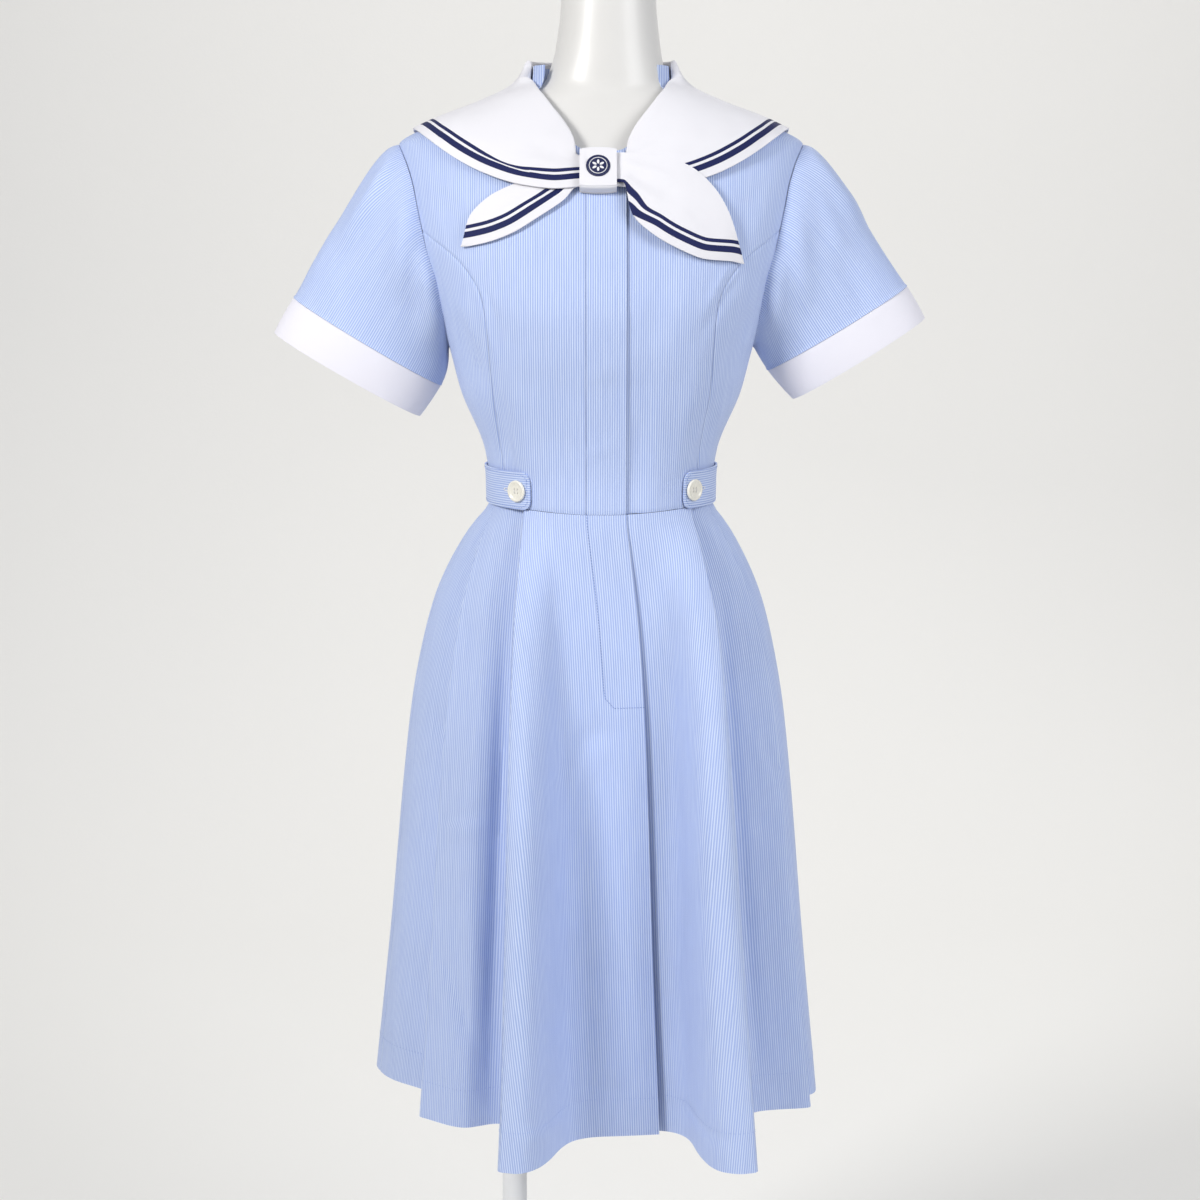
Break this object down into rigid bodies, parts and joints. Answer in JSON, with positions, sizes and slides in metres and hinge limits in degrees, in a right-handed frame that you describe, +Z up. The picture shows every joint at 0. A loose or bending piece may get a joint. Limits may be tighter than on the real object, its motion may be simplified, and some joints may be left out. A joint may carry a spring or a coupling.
{
  "type": "sailor dress on a dress form",
  "caption": "Short-sleeved sailor dress with a wide collar, looped tie, half belt and pleated flared skirt, on a limbless dress form with a pole and round base.",
  "frame": {"origin": "middle of the underside of the round base, on the floor", "axes": "+Z up along the pole, +X towards the wearer's left, which is the right of the picture, and -Y towards the front of the dress"},
  "size_m": [0.607, 0.3804, 1.503],
  "materials": {
    "base": "white powder coat",
    "bodice_back": "light blue woven cotton blend with a fine white stripe",
    "bodice_front_left": "light blue woven cotton blend with a fine white stripe",
    "bodice_front_right": "light blue woven cotton blend with a fine white stripe",
    "bodice_side_left": "light blue woven cotton blend with a fine white stripe",
    "bodice_side_right": "light blue woven cotton blend with a fine white stripe",
    "button_left": "off-white, satin",
    "button_right": "off-white, satin",
    "collar": "white twill with navy tape",
    "cuff_left": "white twill",
    "cuff_right": "white twill",
    "dress_form": "white gloss coat",
    "half_belt": "light blue woven cotton blend with a fine white stripe",
    "neck_facing": "light blue woven cotton blend with a fine white stripe",
    "pole": "white powder coat",
    "skirt_back": "light blue woven cotton blend with a fine white stripe",
    "skirt_front_left": "light blue woven cotton blend with a fine white stripe",
    "skirt_front_right": "light blue woven cotton blend with a fine white stripe",
    "sleeve_left": "light blue woven cotton blend with a fine white stripe",
    "sleeve_right": "light blue woven cotton blend with a fine white stripe",
    "tie_keeper": "white twill",
    "tie_tail_left": "white twill with navy tape",
    "tie_tail_right": "white twill with navy tape"
  },
  "bodies": {
    "root": {"base": "base", "bodice_back": "bodice_back", "bodice_front_left": "bodice_front_left", "bodice_front_right": "bodice_front_right", "bodice_side_left": "bodice_side_left", "bodice_side_right": "bodice_side_right", "button_left": "button_left", "button_right": "button_right", "collar": "collar", "cuff_left": "cuff_left", "cuff_right": "cuff_right", "dress_form": "dress_form", "half_belt": "half_belt", "neck_facing": "neck_facing", "pole": "pole", "skirt_back": "skirt_back", "skirt_front_left": "skirt_front_left", "skirt_front_right": "skirt_front_right", "sleeve_left": "sleeve_left", "sleeve_right": "sleeve_right", "tie_keeper": "tie_keeper", "tie_tail_left": "tie_tail_left", "tie_tail_right": "tie_tail_right"}
  },
  "joints": []
}
